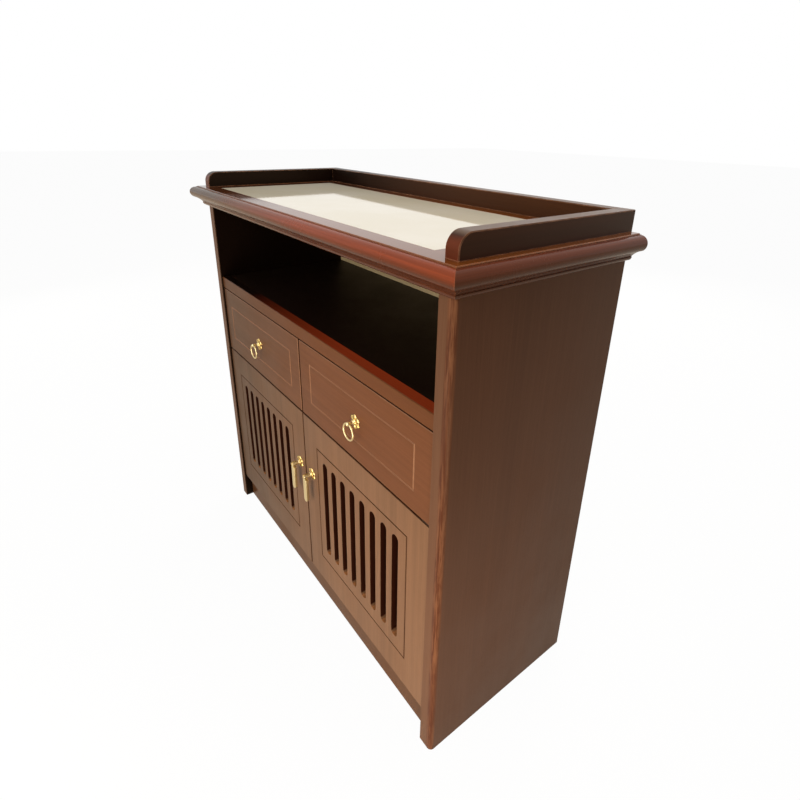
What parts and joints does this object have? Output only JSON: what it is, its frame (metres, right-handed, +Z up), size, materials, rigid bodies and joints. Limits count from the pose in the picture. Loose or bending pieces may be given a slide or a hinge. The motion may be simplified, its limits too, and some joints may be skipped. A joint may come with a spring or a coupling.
{
  "type": "tea cabinet",
  "caption": "Tea cabinet with an open niche, two drawers with ring pulls, two slotted doors with drop-bar pulls, a moulded top and a low gallery.",
  "frame": {"origin": "on the floor, below the middle of the cabinet's overall outline, top moulding included", "axes": "+X along the width, to the right as seen from the front; the fronts face -Y; +Z up"},
  "size_m": [0.877, 0.3564, 0.8485],
  "materials": {
    "front_wood": "satin varnish over walnut-brown stain",
    "carcass_wood": "satin varnish over walnut-brown stain",
    "moulding_wood": "gloss varnish over walnut-brown stain",
    "top_wood": "gloss varnish over walnut-brown stain",
    "inner_wood": "matt stained veneer",
    "box_wood": "sanded plywood",
    "back_wood": "matt olive-tan hardboard",
    "dowel_wood": "plain beech",
    "cream_panel": "gloss cream glaze",
    "pull_brass": "polished, slightly worn",
    "zinc_steel": "bright zinc",
    "catch_plastic": "moulded brown"
  },
  "bodies": {
    "carcass": {"side_panel_left": "carcass_wood", "side_panel_right": "carcass_wood", "kickboard": "carcass_wood", "shelf_rail": "carcass_wood", "bottom_board": "inner_wood", "divider_board": "inner_wood", "drawer_partition": "inner_wood", "cupboard_shelf": "inner_wood", "shelf_board": "inner_wood", "top_rail_front": "inner_wood", "top_rail_back": "inner_wood", "moulding_front": "moulding_wood", "moulding_left": "moulding_wood", "moulding_right": "moulding_wood", "top_board": "top_wood", "gallery_left": "top_wood", "gallery_right": "top_wood", "gallery_back": "top_wood", "back_panel": "back_wood", "inset_panel": "cream_panel", "dowels": "dowel_wood", "wood_screws": "zinc_steel", "shelf_pins": "zinc_steel", "door_catch": "catch_plastic", "pivot_bracket_left_head": "zinc_steel", "pivot_bracket_left_foot": "zinc_steel", "pivot_bracket_right_head": "zinc_steel", "pivot_bracket_right_foot": "zinc_steel", "drawer_left_channels": "zinc_steel", "drawer_right_channels": "zinc_steel"},
    "drawer_left": {"drawer_left_front": "front_wood", "drawer_left_side_left": "box_wood", "drawer_left_side_right": "box_wood", "drawer_left_back": "box_wood", "drawer_left_bottom": "box_wood", "drawer_left_rails": "zinc_steel", "drawer_left_rosette": "pull_brass", "drawer_left_eye_post": "pull_brass"},
    "ring_left": {"drawer_left_ring": "pull_brass"},
    "door_left": {"door_left_panel": "front_wood", "door_left_strike": "zinc_steel", "door_left_rosette": "pull_brass", "door_left_post": "pull_brass"},
    "bar_left": {"door_left_bar": "pull_brass"},
    "drawer_right": {"drawer_right_front": "front_wood", "drawer_right_side_left": "box_wood", "drawer_right_side_right": "box_wood", "drawer_right_back": "box_wood", "drawer_right_bottom": "box_wood", "drawer_right_rails": "zinc_steel", "drawer_right_rosette": "pull_brass", "drawer_right_eye_post": "pull_brass"},
    "ring_right": {"drawer_right_ring": "pull_brass"},
    "door_right": {"door_right_panel": "front_wood", "door_right_strike": "zinc_steel", "door_right_rosette": "pull_brass", "door_right_post": "pull_brass"},
    "bar_right": {"door_right_bar": "pull_brass"}
  },
  "joints": [
    {"name": "drawer_left_slide", "type": "slide", "parent": "carcass", "child": "drawer_left", "axis": [0, -1, 0], "range_m": [0, 0.2]},
    {"name": "ring_left_swing", "type": "hinge", "parent": "drawer_left", "child": "ring_left", "pos_m": [-0.19125, -0.15875, 0.51525], "axis": [-1, 0, 0], "range_deg": [-18, 155]},
    {"name": "door_left_hinge", "type": "hinge", "parent": "carcass", "child": "door_left", "pos_m": [-0.373, -0.14075, 0.25425], "axis": [0, 0, -1], "range_deg": [0, 105]},
    {"name": "bar_left_swing", "type": "hinge", "parent": "door_left", "child": "bar_left", "pos_m": [-0.0255, -0.16015, 0.3155], "axis": [-1, 0, 0], "range_deg": [-10, 160]},
    {"name": "drawer_right_slide", "type": "slide", "parent": "carcass", "child": "drawer_right", "axis": [0, -1, 0], "range_m": [0, 0.2]},
    {"name": "ring_right_swing", "type": "hinge", "parent": "drawer_right", "child": "ring_right", "pos_m": [0.19125, -0.15875, 0.51525], "axis": [-1, 0, 0], "range_deg": [-18, 155]},
    {"name": "door_right_hinge", "type": "hinge", "parent": "carcass", "child": "door_right", "pos_m": [0.373, -0.14075, 0.25425], "axis": [0, 0, 1], "range_deg": [0, 105]},
    {"name": "bar_right_swing", "type": "hinge", "parent": "door_right", "child": "bar_right", "pos_m": [0.0255, -0.16015, 0.3155], "axis": [-1, 0, 0], "range_deg": [-10, 160]}
  ]
}
